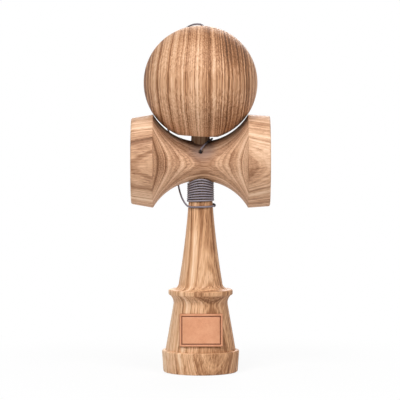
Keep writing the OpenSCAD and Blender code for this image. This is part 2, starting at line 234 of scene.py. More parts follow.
def string_tube(name, line, outward, wide, deep, along_start=0.0, sides=STRING_SIDES, closed=False):
    """Mesh tube of the string with its own section at each ring, and UV in turns and lengths."""
    count = len(line)
    ahead = np.roll(line, -1, 0) if closed else np.vstack([line[1:], 2 * line[-1] - line[-2]])
    behind = np.roll(line, 1, 0) if closed else np.vstack([2 * line[0] - line[1], line[:-1]])
    ways = ahead - behind
    ways /= np.linalg.norm(ways, axis=1)[:, None]
    outward = outward - (outward * ways).sum(1)[:, None] * ways
    outward /= np.linalg.norm(outward, axis=1)[:, None]
    across = np.cross(ways, outward)
    along = along_start + lengths_along(line)
    angles = np.arange(sides) * 2 * math.pi / sides
    points = (
        line[:, None]
        + (deep[:, None] * np.cos(angles))[..., None] * outward[:, None]
        + (wide[:, None] * np.sin(angles))[..., None] * across[:, None]
    ).reshape(-1, 3)
    faces, turns, lengths = [], [], []
    for i in range(count if closed else count - 1):
        j = (i + 1) % count
        far = along[i] + np.linalg.norm(line[j] - line[i])
        for k in range(sides):
            m = (k + 1) % sides
            faces.append((i * sides + k, i * sides + m, j * sides + m, j * sides + k))
            turns += [k / sides, (k + 1) / sides, (k + 1) / sides, k / sides]
            lengths += [along[i], along[i], far, far]
    if not closed:
        faces.append(tuple(range(sides))[::-1])
        faces.append(tuple((count - 1) * sides + k for k in range(sides)))
        turns += [0.5] * (2 * sides)
        lengths += [along[0]] * sides + [along[-1]] * sides
    uv = np.stack([turns, np.array(lengths) * STRING_UV], 1)
    mesh = bpy.data.meshes.new(name)
    mesh.from_pydata((points * MM).tolist(), [], faces)
    mesh.uv_layers.new(name="string").data.foreach_set("uv", uv.ravel().astype(np.float32))
    mesh.polygons.foreach_set("use_smooth", [True] * len(mesh.polygons))
    made = bpy.data.objects.new(name, mesh)
    scene.collection.objects.link(made)
    return made, along[-1]


# Main string: lead, winding with its hitch, and the tether up behind the cross piece
lead_line = smooth_line(lead_points, LINE_STEP)[:-1]
turn_points = [winding_point(i / TURN_STEPS) for i in range(round(LAST_TURN * TURN_STEPS) + 1)]
winding_line = np.array([winding_start] + turn_points + [winding_end])
tether_line = smooth_line(tether_lower_points, LINE_STEP)[1:]
winding_out = winding_line * [1, 1, 0]
winding_out /= np.linalg.norm(winding_out, axis=1)[:, None]
lead_out = carried(lead_line[::-1], winding_out[0])[::-1]
tether_out = carried(tether_line, winding_out[-1])
main_line = np.vstack([lead_line, winding_line, tether_line])
main_out = np.vstack([lead_out, winding_out, tether_out])
main_along = lengths_along(main_line)
wound_from = main_along[len(lead_line)]
hitch_from = main_along[len(lead_line) + 1 + TURN_STEPS * TURNS]


def tightness(along):
    """How firmly the string is wound at a length along it: 0 where it hangs free, and 1 in the winding."""
    tightened = soft_step((along - wound_from + TIGHTEN_BEFORE) / TIGHTEN_OVER)
    loosened = soft_step((along - hitch_from + LOOSEN_BEFORE) / LOOSEN_OVER)
    return tightened * (1 - loosened)


tight = np.array([tightness(along) for along in main_along])
main_wide = STRING_R + WOUND_SPREAD * tight
main_deep = STRING_R + WOUND_SWELL * tight
string_main, main_length = string_tube("string_main", main_line, main_out, main_wide, main_deep)

# Upper string, from behind the cross piece over the ball to the bead
upper_line = smooth_line(tether_upper_points, LINE_STEP)
upper_out = carried(upper_line, tether_out[-1])
upper_thick = np.full(len(upper_line), STRING_R)
string_upper, string_length = string_tube(
    "string_upper", upper_line, upper_out, upper_thick, upper_thick, along_start=main_length
)

# End knots: size of the loops, half thickness of the string drawn tight, depth of the crossings, and a
# direction that sets how a knot is turned
KNOT_SIZE, KNOT_R, KNOT_DEPTH = 0.26, 0.36, 1.3
KNOT_TURN = (0.3, 1, 0.2)
KNOT_STEPS, KNOT_SIDES = 96, 10


def closed_tube(name, line, outward, thick):
    """Ring of the string with the same thickness all along."""
    thick = np.full(len(line), thick)
    outward = np.tile(outward, (len(line), 1))
    return string_tube(name, line, outward, thick, thick, sides=KNOT_SIDES, closed=True)[0]


def knot_piece(name, middle, way):
    """Small overhand knot around a point, lying across the way that the string leaves it."""
    way = unit(np.array(way, float))
    side = unit(np.cross(way, KNOT_TURN))
    other = np.cross(way, side)
    t = np.linspace(0, 2 * math.pi, KNOT_STEPS, endpoint=False)
    flat = np.stack([np.sin(t) + 2 * np.sin(2 * t), np.cos(t) - 2 * np.cos(2 * t), -np.sin(3 * t)], 1)
    line = np.array(middle) + KNOT_SIZE * (
        flat[:, :1] * side + flat[:, 1:2] * other + KNOT_DEPTH * flat[:, 2:] * way
    )
    return closed_tube(name, line, way, KNOT_R)


sarado_knot = knot_piece(
    "knot_in_sarado", hole_point(KNOT_IN_HOLE), [0, -math.cos(HOLE_ANGLE), math.sin(HOLE_ANGLE)]
)
tama_axis = np.array([math.sin(TAMA_TILT), 0, math.cos(TAMA_TILT)])
tama_knot = knot_piece("knot_under_bead", tama_point(KNOT_H), tama_axis)

# Half hitch that locks the winding: a small turn of the string round itself at the right of the neck
HITCH_AT, HITCH_NEAR = 0.27, 0.03
HITCH_R, HITCH_THICK, HITCH_OUT, HITCH_SLANT, HITCH_STEPS = 0.66, 0.38, 0.15, 0.35, 40

hitch_middle = winding_point(TURNS + HITCH_AT)
hitch_way = unit(winding_point(TURNS + HITCH_AT + HITCH_NEAR) - winding_point(TURNS + HITCH_AT - HITCH_NEAR))
hitch_side = unit(hitch_middle * [1, 1, 0])
hitch_up = np.cross(hitch_way, hitch_side)
hitch_turn = np.linspace(0, 2 * math.pi, HITCH_STEPS, endpoint=False)[:, None]
hitch_line = hitch_middle + HITCH_OUT * hitch_side + HITCH_R * (
    np.cos(hitch_turn) * (hitch_side + HITCH_SLANT * hitch_way) + np.sin(hitch_turn) * hitch_up
)
hitch_knot = closed_tube("string_hitch", hitch_line, hitch_way, HITCH_THICK)

# The two stretches take on their world places, the knots move with the bodies that they sit on, and the
# source's string nodes are hidden
string_pieces = (string_main, string_upper, sarado_knot, tama_knot, hitch_knot)
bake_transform(string_main)
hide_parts("string_lead", "string_winding", "string_tether_lower")
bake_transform(string_upper)
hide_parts("string_tether_upper")
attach(sarado_knot, "sarado")
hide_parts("sarado_knot")
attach(tama_knot, "string_end")
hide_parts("tama_knot")
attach(hitch_knot, "ken")

# Skirt of the handle, which is a cone, and the leather badge on it
SKIRT_LOW, SKIRT_H = 11.6, 24.0
SKIRT_LOW_R, SKIRT_HIGH_R = 18.6, 14.4
BADGE_W, BADGE_H, BADGE_T = 23.0, 17.0, 1.0
BADGE_RISE = 3.4
BADGE_LOW = SKIRT_LOW + BADGE_RISE
BADGE_SHIFT = 0.3
BADGE_CORNER = 0.8
# Thickness left at the badge's edge, width of its rounding, and its pressed line
EDGE_SHARE, EDGE_ROUND = 0.55, 0.45
LINE_INSET, LINE_HALF, LINE_DEPTH = 1.35, 0.28, 0.28
GLUE_GAP = 0.05
# A flat piece bent round a cone droops towards its sides: its drop, and the share kept level
BADGE_SAG, LEVEL_SHARE = 0.4, 0.33
BADGE_STEPS_ACROSS, BADGE_STEPS_UP = 112, 88
BADGE_UV = 0.01


def skirt_radius(z):
    """Radius of the skirt at a height."""
    return SKIRT_LOW_R + (SKIRT_HIGH_R - SKIRT_LOW_R) * (z - SKIRT_LOW) / SKIRT_H


def inside_badge(x, y):
    """Distance inside the badge's rounded outline."""
    dx = np.abs(x) - BADGE_W / 2 + BADGE_CORNER
    dy = np.abs(y) - BADGE_H / 2 + BADGE_CORNER
    outside = np.hypot(np.maximum(dx, 0), np.maximum(dy, 0))
    return BADGE_CORNER - outside - np.minimum(np.maximum(dx, dy), 0)


def badge_piece():
    """Soft plate bent round the skirt, with a pressed border line and rounded edges."""
    xs = np.linspace(-1, 1, BADGE_STEPS_ACROSS + 1) * BADGE_W / 2
    ys = np.linspace(-1, 1, BADGE_STEPS_UP + 1) * BADGE_H / 2
    x, y = np.meshgrid(xs, ys)
    # Points past a rounded corner are drawn in onto it
    corner_x = np.clip(x, -BADGE_W / 2 + BADGE_CORNER, BADGE_W / 2 - BADGE_CORNER)
    corner_y = np.clip(y, -BADGE_H / 2 + BADGE_CORNER, BADGE_H / 2 - BADGE_CORNER)
    off = np.maximum(np.hypot(x - corner_x, y - corner_y), 1e-9)
    pull = np.minimum(1, BADGE_CORNER / off)
    x, y = corner_x + (x - corner_x) * pull, corner_y + (y - corner_y) * pull
    inside = inside_badge(x, y)
    rounded = np.sqrt(np.clip(1 - (1 - np.clip(inside / EDGE_ROUND, 0, 1)) ** 2, 0, 1))
    pressed = np.exp(-(((inside - LINE_INSET) / LINE_HALF) ** 2))
    front = BADGE_T * (EDGE_SHARE + (1 - EDGE_SHARE) * rounded) - LINE_DEPTH * pressed
    z = BADGE_LOW + BADGE_H / 2 + y - BADGE_SAG * ((2 * x / BADGE_W) ** 2 - LEVEL_SHARE)

    def placed(lift):
        r = skirt_radius(z) + GLUE_GAP + lift
        side = x + BADGE_SHIFT
        return np.stack([side, -np.sqrt(r**2 - side**2), z], -1).reshape(-1, 3)

    points = np.vstack([placed(front), placed(np.zeros_like(front))])
    across, up = BADGE_STEPS_ACROSS, BADGE_STEPS_UP
    width, total = across + 1, (across + 1) * (up + 1)
    faces = []
    for j in range(up):
        for i in range(across):
            a = j * width + i
            faces.append((a, a + 1, a + width + 1, a + width))
            faces.append((total + a, total + a + width, total + a + width + 1, total + a + 1))
    rim = (
        list(range(across))
        + [j * width + across for j in range(up)]
        + [up * width + i for i in range(across, 0, -1)]
        + [j * width for j in range(up, 0, -1)]
    )
    for a, b in zip(rim, rim[1:] + rim[:1]):
        faces.append((b, a, total + a, total + b))
    mesh = bpy.data.meshes.new("badge_leather")
    mesh.from_pydata((points * MM).tolist(), [], faces)
    flat = np.tile(np.stack([x.ravel(), y.ravel()], 1), (2, 1))
    uv = flat[[loop.vertex_index for loop in mesh.loops]] * BADGE_UV
    mesh.uv_layers.new(name="badge").data.foreach_set("uv", uv.ravel().astype(np.float32))
    mesh.polygons.foreach_set("use_smooth", [True] * len(mesh.polygons))
    made = bpy.data.objects.new("badge_leather", mesh)
    scene.collection.objects.link(made)
    return made


badge = badge_piece()
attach(badge, "ken")
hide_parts("leather_badge")


# Helpers for node materials
def empty_tree(owner):
    """Node tree of a material or world, with nothing in it yet."""
    owner.use_nodes = True
    owner.node_tree.nodes.clear()
    return owner.node_tree


def put(tree, kind, inputs=(), **settings):
    """New node with its settings, and its inputs linked or set."""
    made = tree.nodes.new("ShaderNode" + kind)
    for key, value in settings.items():
        setattr(made, key, value)
    for key, value in dict(inputs).items():
        if isinstance(value, bpy.types.NodeSocket):
            tree.links.new(value, made.inputs[key])
        else:
            made.inputs[key].default_value = value
    return made


def new_material(name):
    """Material with its tree and one main shader."""
    material = bpy.data.materials.new(name)
    tree = empty_tree(material)
    shader = put(tree, "BsdfPrincipled")
    put(tree, "OutputMaterial", {"Surface": shader.outputs[0]})
    return material, tree, shader


def calc(tree, operation, *values):
    """Result of a sum on numbers."""
    return put(tree, "Math", enumerate(values), operation=operation).outputs[0]


def vector_calc(tree, operation, *values):
    """Result of a sum on vectors."""
    made = put(tree, "VectorMath", enumerate(values), operation=operation)
    return made.outputs["Value" if operation in ("DOT_PRODUCT", "LENGTH") else "Vector"]


def noise(tree, place, scales, detail, rough, seed):
    """Soft random pattern in space, with its own scale along each axis."""
    shift = (seed, 1.7 * seed, 0.6 * seed)
    stretched = vector_calc(tree, "MULTIPLY_ADD", place, scales, shift)
    inputs = {"Vector": stretched, "Scale": 1.0, "Detail": detail, "Roughness": rough}
    return put(tree, "TexNoise", inputs).outputs[0]


def noise_line(tree, place, scale, detail, rough, seed):
    """Soft random pattern along one length."""
    spot = calc(tree, "MULTIPLY_ADD", place, scale, seed)
    inputs = {"W": spot, "Scale": 1.0, "Detail": detail, "Roughness": rough}
    return put(tree, "TexNoise", inputs, noise_dimensions="1D").outputs[0]


def span(tree, value, low, high, to_low=0.0, to_high=1.0):
    """Smooth change from to_low to to_high, as a value goes from low to high."""
    inputs = {0: value, 1: low, 2: high, 3: to_low, 4: to_high}
    return put(tree, "MapRange", inputs, interpolation_type="SMOOTHSTEP").outputs[0]


def ramp(tree, value, stops):
    """Colour for a value, between the stops' colours."""
    made = put(tree, "ValToRGB", {0: value})
    elements = made.color_ramp.elements
    while len(elements) < len(stops):
        elements.new(0.5)
    for element, (place, colour) in zip(elements, stops):
        element.position = place
        element.color = (*colour, 1)
    return made.outputs[0]


def mixed(tree, share, colour, other):
    """A share of another colour mixed into a colour."""
    return put(tree, "Mix", {0: share, 6: colour, 7: (*other, 1)}, data_type="RGBA").outputs[2]


def away_from(tree, spot, place):
    """Distance of a spot from a place, in millimetres."""
    off = vector_calc(tree, "SUBTRACT", spot, tuple(x * MM for x in place))
    return calc(tree, "DIVIDE", vector_calc(tree, "LENGTH", off), MM)


def bump(tree, shader, height, strength, depth):
    """Fine relief on a shader, with its depth in metres."""
    made = put(tree, "Bump", {"Height": height, "Strength": strength, "Distance": depth})
    tree.links.new(made.outputs[0], shader.inputs["Normal"])


def srgb(r, g, b):
    """Linear colour from screen values out of 255."""
    return tuple((v / 255 / 12.92) if v < 10 else ((v / 255 + 0.055) / 1.055) ** 2.4 for v in (r, g, b))


# Painted shade of the resting ball on the wood: distances from the ball's middle at which it starts, is full,
# wanes and ends, and how far to the side it wanes and ends
BALL_SHADE_START, BALL_SHADE_FULL, BALL_SHADE_WANES, BALL_SHADE_REACH = 12, 29, 30.2, 44.0
BALL_SHADE_ASIDE, BALL_SHADE_ASIDE_END = 19, 25.4
# Thin painted contact shadow along the rims that the ball rests on
CONTACT_SHADOW_WANES, CONTACT_SHADOW_REACH = 30.4, 36.5
CONTACT_SHADOW_ASIDE, CONTACT_SHADOW_ASIDE_END = 24.6, 25.1
# Colours of the painted shade of the ball, and of the grey round the string's hole
BALL_SHADE_COLOUR = srgb(46, 38, 34)
HOLE_GREY_COLOUR = srgb(126, 104, 100)
# Shares of the reach of a mark or patch, and of the grey round the string's hole, over which it keeps its
# full strength
CORE, HOLE_GREY_CORE = 0.2, 0.25
# Tone of plain wood, a ring's mean darkness, and how quickly and how far the rings' widths vary
MIDDLE_TONE, RING_MEAN = 0.58, 0.45
WIDTH_WAVES, WIDTH_SHIFT = 0.35, 3.0
# Pores: where their pattern starts and is full, their darkness, the early wood's end in a ring, and the
# share of them that is left after it
PORE_FROM, PORE_FULL, PORE_DARKNESS = 0.57, 0.68, 0.26
EARLY_END, PORES_LATE = 0.55, 0.3
# Places of a wood's five tones on the scale from dark to light
TONE_PLACES = (0.0, 0.30, 0.55, 0.78, 1.0)
# Darkness of a growth ring from its start to its end
RING_DARKNESS = ((0.0, 0.60), (0.16, 0.15), (0.45, 0.25), (0.72, 0.80), (0.88, 1.0), (1.0, 0.60))


def ring_depth(tree, place, a, b, c, seed, bend, waves):
    """Depth of a spot across the growth rings, which wander, more slowly along the fibre, and bow."""
    slow = noise(tree, place, (0.035, 0.035, 0.014), 2.0, 0.5, seed)
    quick = noise(tree, place, (0.16, 0.16, 0.03), 2.0, 0.5, seed + 5)
    tiny = noise(tree, place, (1.1, 1.1, 0.10), 1.0, 0.5, seed + 9)
    depth = a
    for wave, size in zip((slow, quick, tiny), waves):
        depth = calc(tree, "MULTIPLY_ADD", wave, 2 * size, depth)
    depth = calc(tree, "SUBTRACT", depth, sum(waves))
    depth = calc(tree, "MULTIPLY_ADD", calc(tree, "MULTIPLY", b, b), bend[0], depth)
    swell = calc(tree, "MULTIPLY", a, calc(tree, "MULTIPLY", c, c))
    return calc(tree, "MULTIPLY_ADD", swell, bend[1], depth)


def painted_ball_shade(tree, spot, right, height, ball_shade, contact_shadow):
    """Strength of the painted shade of the ball that rests height above the spots' origin, with a thin
    painted contact shadow along the rims.
    """
    off = away_from(tree, spot, (0, 0, height))
    aside = calc(tree, "ABSOLUTE", right)
    near = span(tree, off, BALL_SHADE_START, BALL_SHADE_FULL)
    near = calc(tree, "MULTIPLY", near, span(tree, off, BALL_SHADE_WANES, BALL_SHADE_REACH, 1.0, 0.0))
    near = calc(tree, "MULTIPLY", near, span(tree, aside, BALL_SHADE_ASIDE, BALL_SHADE_ASIDE_END, ball_shade, 0.0))
    line = span(tree, off, CONTACT_SHADOW_WANES, CONTACT_SHADOW_REACH, 1.0, 0.0)
    line = calc(tree, "MULTIPLY", line, span(tree, aside, CONTACT_SHADOW_ASIDE, CONTACT_SHADOW_ASIDE_END, contact_shadow, 0.0))
    return calc(tree, "MAXIMUM", near, line)


def wood(
    name, middle, ring, fibre, seed, spacing, bend, waves, shares, tones,
    marks=(), patches=(), side_tone=None, ball_shade=0.0, contact_shadow=0.0, hole_grey=None,
):
    """Solid open-pored wood. Its growth rings lie across the ring direction, in millimetres from the middle.

    shares: how much rings, bands, lines, streaks, clouds and fibres show.
    marks: main growth bands, with place across the rings, half width and darkness, below 0 for light; two on
    the ball also serve as painted shade at its left edge.
    patches: darker or lighter spots, with place from the middle, reach and darkness.
    side_tone: change of tone to the right, as start, end, first change and last change; on the handle it is
    painted light on the left and painted shade on the right.
    hole_grey: grey round the string's hole, with place from the middle, reach and strength.
    """
    material, tree, shader = new_material(name)
    ring = unit(np.array(ring, float))
    fibre = np.array(fibre, float)
    fibre = unit(fibre - fibre @ ring * ring)
    cross = np.cross(fibre, ring)
    spot = put(tree, "TexCoord").outputs["Object"]
    spot = vector_calc(tree, "SUBTRACT", spot, tuple(x * MM for x in middle))
    a, b, c = (vector_calc(tree, "DOT_PRODUCT", spot, tuple(v / MM)) for v in (ring, cross, fibre))
    place = put(tree, "CombineXYZ", {0: a, 1: b, 2: c}).outputs[0]
    right = vector_calc(tree, "DOT_PRODUCT", spot, (1 / MM, 0, 0))
    depth = ring_depth(tree, place, a, b, c, seed, bend, waves)

    # Ring widths vary, and each ring darkens towards its end
    vary = noise_line(tree, depth, WIDTH_WAVES / spacing, 1.0, 0.5, seed)
    years = calc(tree, "MULTIPLY_ADD", depth, 1 / spacing, calc(tree, "MULTIPLY", vary, WIDTH_SHIFT))
    year = calc(tree, "FRACT", years)
    late = ramp(tree, year, [(at, (dark,) * 3) for at, dark in RING_DARKNESS])
    late = put(tree, "SeparateColor", {0: late}).outputs[0]
    bands = noise_line(tree, depth, 0.20, 2.0, 0.6, seed + 3)
    lines = noise_line(tree, depth, 0.9, 2.5, 0.65, seed + 11)
    cloud = noise(tree, place, (0.05, 0.05, 0.02), 2.0, 0.5, seed + 21)
    streak = noise(tree, place, (1.5, 1.5, 0.045), 3.0, 0.65, seed + 13)
    fibres = noise(tree, place, (7.0, 7.0, 0.22), 2.0, 0.6, seed + 17)

    # Pores lie in the early wood of each ring, as short dark flecks along the fibre
    pores = noise(tree, place, (2.6, 2.6, 0.18), 1.0, 0.4, seed + 19)
    early = span(tree, year, 0.0, EARLY_END, 1.0, PORES_LATE)
    pores = calc(tree, "MULTIPLY", span(tree, pores, PORE_FROM, PORE_FULL), early)

    tone = calc(tree, "MULTIPLY_ADD", late, -shares[0], MIDDLE_TONE + RING_MEAN * shares[0])
    for share, pattern in zip(shares[1:], (bands, lines, streak, cloud, fibres)):
        tone = calc(tree, "MULTIPLY_ADD", calc(tree, "SUBTRACT", pattern, 0.5), share, tone)
    tone = calc(tree, "MULTIPLY_ADD", pores, -PORE_DARKNESS, tone)
    for centre, half, dark in marks:
        off = calc(tree, "ABSOLUTE", calc(tree, "SUBTRACT", depth, centre))
        tone = calc(tree, "ADD", tone, span(tree, off, CORE * half, half, -dark, 0.0))
    for centre, reach, dark in patches:
        off = away_from(tree, spot, centre)
        tone = calc(tree, "ADD", tone, span(tree, off, CORE * reach, reach, -dark, 0.0))
    # Change of tone towards the right; on the handle it is painted light on the left and painted shade on the
    # right
    if side_tone:
        tone = calc(tree, "ADD", tone, span(tree, right, *side_tone))
    colour = ramp(tree, tone, list(zip(TONE_PLACES, tones)))
    # Greyer wood round the string's hole
    if hole_grey:
        centre, reach, strength = hole_grey
        off = away_from(tree, spot, centre)
        amount = span(tree, off, HOLE_GREY_CORE * reach, reach, strength, 0.0)
        colour = mixed(tree, amount, colour, HOLE_GREY_COLOUR)
    # Painted shade of the resting ball, with a thin painted contact shadow along the rims that it rests on
    if ball_shade:
        amount = painted_ball_shade(tree, spot, right, TAMA_Z - middle[2], ball_shade, contact_shadow)
        colour = mixed(tree, amount, colour, BALL_SHADE_COLOUR)
    tree.links.new(colour, shader.inputs["Base Color"])
    rough = calc(tree, "MULTIPLY_ADD", pores, 0.18, calc(tree, "MULTIPLY_ADD", fibres, 0.16, 0.48))
    tree.links.new(rough, shader.inputs["Roughness"])
    shader.inputs["Specular IOR Level"].default_value = 0.25
    height = calc(tree, "MULTIPLY_ADD", pores, -1.0, calc(tree, "MULTIPLY", fibres, 0.5))
    height = calc(tree, "MULTIPLY_ADD", late, 0.25, height)
    bump(tree, shader, height, 0.5, 0.00012)
    return material


tama_wood = wood(
    "wood_tama",
    middle=(0, 0, TAMA_Z),
    ring=(1, 0.05, 0),
    fibre=tama_axis,
    seed=4.0,
    spacing=2.3,
    bend=(0.002, 0.0003),
    waves=(0.6, 0.6, 0.09),
    shares=(0.18, 0.5, 1.05, 0.85, 0.35, 0.25),
    tones=(
        srgb(84, 52, 31), srgb(148, 100, 66), srgb(202, 152, 114), srgb(230, 188, 153), srgb(243, 214, 184),
    ),
    # The bands at -28.9 and -26.9 are growth bands that also serve as painted shade at the ball's left edge
    marks=(
        (-26.9, 1.4, 0.22), (-24.3, 1.2, -0.06), (-22.7, 1.2, 0.20), (-19.6, 1.8, -0.10),
        (-16.2, 1.3, 0.12), (-14.0, 1.0, -0.10), (-11.9, 1.1, 0.15), (-8.9, 1.2, -0.06),
        (-7.9, 0.9, 0.14), (-1.8, 3.2, -0.04), (4.2, 2.8, 0.30), (7.2, 1.6, -0.06), (10.4, 1.5, 0.20),
        (14.0, 1.3, 0.28), (16.4, 1.0, 0.18), (24.6, 2.0, 0.16), (28.6, 1.6, -0.08), (-28.9, 2.4, 0.24),
    ),
    patches=(((16, -18, 18), 15, 0.22), ((14, -19, -19), 15, 0.14), ((0, -16, 24), 12, 0.10)),
    side_tone=(4, 22, 0.01, -0.08),
)
ken_wood = wood(
    "wood_ken",
    middle=(0, 0, 60),
    ring=(-0.42, 0.9, -0.08),
    fibre=(0.05, 0.11, 1),
    seed=64.0,
    spacing=1.9,
    bend=(0.004, 0.0),
    waves=(1.0, 0.6, 0.09),
    shares=(0.18, 0.65, 0.85, 0.85, 0.35, 0.25),
    tones=(
        srgb(90, 57, 34), srgb(154, 106, 71), srgb(206, 157, 116), srgb(231, 187, 149), srgb(243, 211, 177),
    ),
    marks=((4.0, 4.0, -0.10), (10.5, 5.0, -0.16), (-7.7, 1.3, 0.10), (-13.0, 2.2, 0.17)),
    patches=(
        ((0, -7, 22), 12, 0.17), ((6, -6, 10), 10, 0.12), ((0, -18, -17), 10, 0.15),
        ((3, -18.5, -54), 14, 0.12),
    ),
    # Lighter on the left and darker on the right: painted light and painted shade
    side_tone=(-9, 12, 0.14, -0.10),
    # Painted shade of the resting ball on the spike
    ball_shade=0.52,
)
sarado_wood = wood(
    "wood_sarado",
    middle=(0, 0, AXIS_Z),
    ring=(0.08, 1, 0.06),
    fibre=(1, -0.08, 0.02),
    seed=57.0,
    spacing=1.7,
    bend=(0.002, 0.0),
    waves=(1.2, 0.6, 0.09),
    shares=(0.28, 0.75, 0.85, 0.6, 0.35, 0.25),
    tones=(
        srgb(88, 57, 37), srgb(150, 106, 76), srgb(203, 158, 124), srgb(231, 191, 158), srgb(243, 212, 182),
    ),
    marks=((-15.8, 3.0, -0.10), (-11.4, 2.6, 0.07)),
    patches=(
        ((-18, -16, 0), 10, 0.20), ((18, -16, 0), 10, 0.20), ((-31, -12, 21), 10, -0.18),
        ((-31, -18, -17), 11, -0.17), ((31, -24, 5), 11, -0.14), ((-31, -24, 5), 9, 0.07),
        ((2, -6.5, -10), 10, 0.22),
    ),
    # Painted shade of the resting ball on the saddle, with a painted contact shadow along its rims
    ball_shade=0.34,
    contact_shadow=0.72,
    hole_grey=((1.0, -8.0, 7.0), 10, 0.6),
)
bead_wood = wood(
    "wood_bead",
    middle=tama_point(BEAD_H),
    ring=(0, 1, 0.2),
    fibre=(1, 0, 0.2),
    seed=83.0,
    spacing=1.6,
    bend=(0.02, 0.0),
    waves=(0.6, 0.3, 0.06),
    shares=(0.2, 0.5, 0.4, 0.4, 0.2, 0.2),
    tones=(
        srgb(150, 112, 74), srgb(196, 160, 116), srgb(222, 194, 152),
        srgb(236, 214, 178), srgb(244, 228, 200),
    ),
)

# Lengths along the string: where it leaves its hole, which ends its painted shade there, where the painted
# shade of the ball over it starts and is full, and where that wanes and ends
HOLE_SHADE_FROM, HOLE_SHADE_TO = 2.4, 3.0
LEAD_SHADE_FROM, LEAD_SHADE_FULL = 5.5, 8.5
LEAD_SHADE_WANES, LEAD_SHADE_END = 14.0, 26.0
# Lengths over which the wound turns' painted light and shade start and end, and how far outward a turn's side
# faces where it is hidden by its neighbour and carries full painted shade, and where it is in full view and
# carries none
WOUND_IN, WOUND_OUT = 5, 3
FACING_FULL_SHADE, FACING_NO_SHADE = 0.55, 0.97
# Strands that cross round the string in one direction, and length of their pattern
BRAID_STRANDS, BRAID_STEP = 4, 1.1


def string_material():
    """Thin braided cord: two sets of strands that cross on the slant, with a little fuzz."""
    material, tree, shader = new_material("string_braid")
    uv = put(tree, "SeparateXYZ", {0: put(tree, "UVMap", uv_map="string").outputs[0]}).outputs
    turn = calc(tree, "MULTIPLY", uv[0], 2 * math.pi)
    length = calc(tree, "MULTIPLY", uv[1], 1 / STRING_UV)
    around = calc(tree, "MULTIPLY", turn, BRAID_STRANDS)
    along = calc(tree, "MULTIPLY", length, 2 * math.pi / BRAID_STEP)
    left = calc(tree, "SINE", calc(tree, "ADD", around, along))
    right = calc(tree, "SINE", calc(tree, "SUBTRACT", around, along))
    braid = calc(tree, "MULTIPLY_ADD", calc(tree, "MULTIPLY", left, right), 0.5, 0.5)
    spot = put(tree, "TexCoord").outputs["Object"]
    fuzz = noise(tree, spot, (5200.0, 5200.0, 5200.0), 2.0, 0.6, 3.0)
    worn = noise(tree, spot, (260.0, 260.0, 260.0), 2.0, 0.5, 8.0)
    tone = calc(tree, "MULTIPLY_ADD", braid, 0.45, calc(tree, "MULTIPLY_ADD", fuzz, 0.35, -0.02))
    tone = calc(tree, "MULTIPLY_ADD", worn, 0.30, tone)
    # The string has painted shade in its hole, is a little paler in front of it, and has painted shade of the
    # ball where it passes under it
    lead_shade = span(tree, length, LEAD_SHADE_FROM, LEAD_SHADE_FULL, 0.12, -0.36)
    lead_shade = calc(tree, "ADD", lead_shade, span(tree, length, HOLE_SHADE_FROM, HOLE_SHADE_TO, -0.7, 0.0))
    lead_shade = calc(tree, "MULTIPLY", lead_shade, span(tree, length, LEAD_SHADE_WANES, LEAD_SHADE_END, 1.0, 0.0))
    tone = calc(tree, "ADD", tone, lead_shade)
    # Wound turns hide their sides from each other: the turns are painted lighter for the light on their
    # outsides, and their hidden sides carry painted shade
    wound = span(tree, length, wound_from, wound_from + WOUND_IN)
    wound = calc(tree, "MULTIPLY", wound, span(tree, length, hitch_from - WOUND_OUT, hitch_from, 1.0, 0.0))
    facing = calc(tree, "COSINE", turn)
    painted_side_shade = calc(tree, "MULTIPLY", wound, span(tree, facing, FACING_FULL_SHADE, FACING_NO_SHADE, 1.0, 0.0))
    tone = calc(tree, "MULTIPLY_ADD", wound, 0.23, tone)
    tone = calc(tree, "MULTIPLY_ADD", painted_side_shade, -0.95, tone)
    colour = ramp(tree, tone, [
        (0.0, srgb(16, 13, 17)), (0.2, srgb(54, 47, 54)), (0.45, srgb(104, 94, 104)),
        (0.7, srgb(138, 128, 136)), (1.0, srgb(170, 160, 167)),
    ])
    tree.links.new(colour, shader.inputs["Base Color"])
    tree.links.new(calc(tree, "MULTIPLY_ADD", fuzz, 0.2, 0.42), shader.inputs["Roughness"])
    shader.inputs["Specular IOR Level"].default_value = 0.5
    shader.inputs["Sheen Weight"].default_value = 0.15
    bump(tree, shader, calc(tree, "MULTIPLY_ADD", fuzz, 0.4, braid), 0.6, 0.00008)
    return material


# Distances inside the badge's edge at which its burnt line starts, is full, wanes and ends
BURNT_FROM, BURNT_FULL, BURNT_WANES, BURNT_END = 1.00, 1.24, 1.58, 1.82
# Reach of the darker cut edge
CUT_FROM, CUT_END = 0.05, 0.5


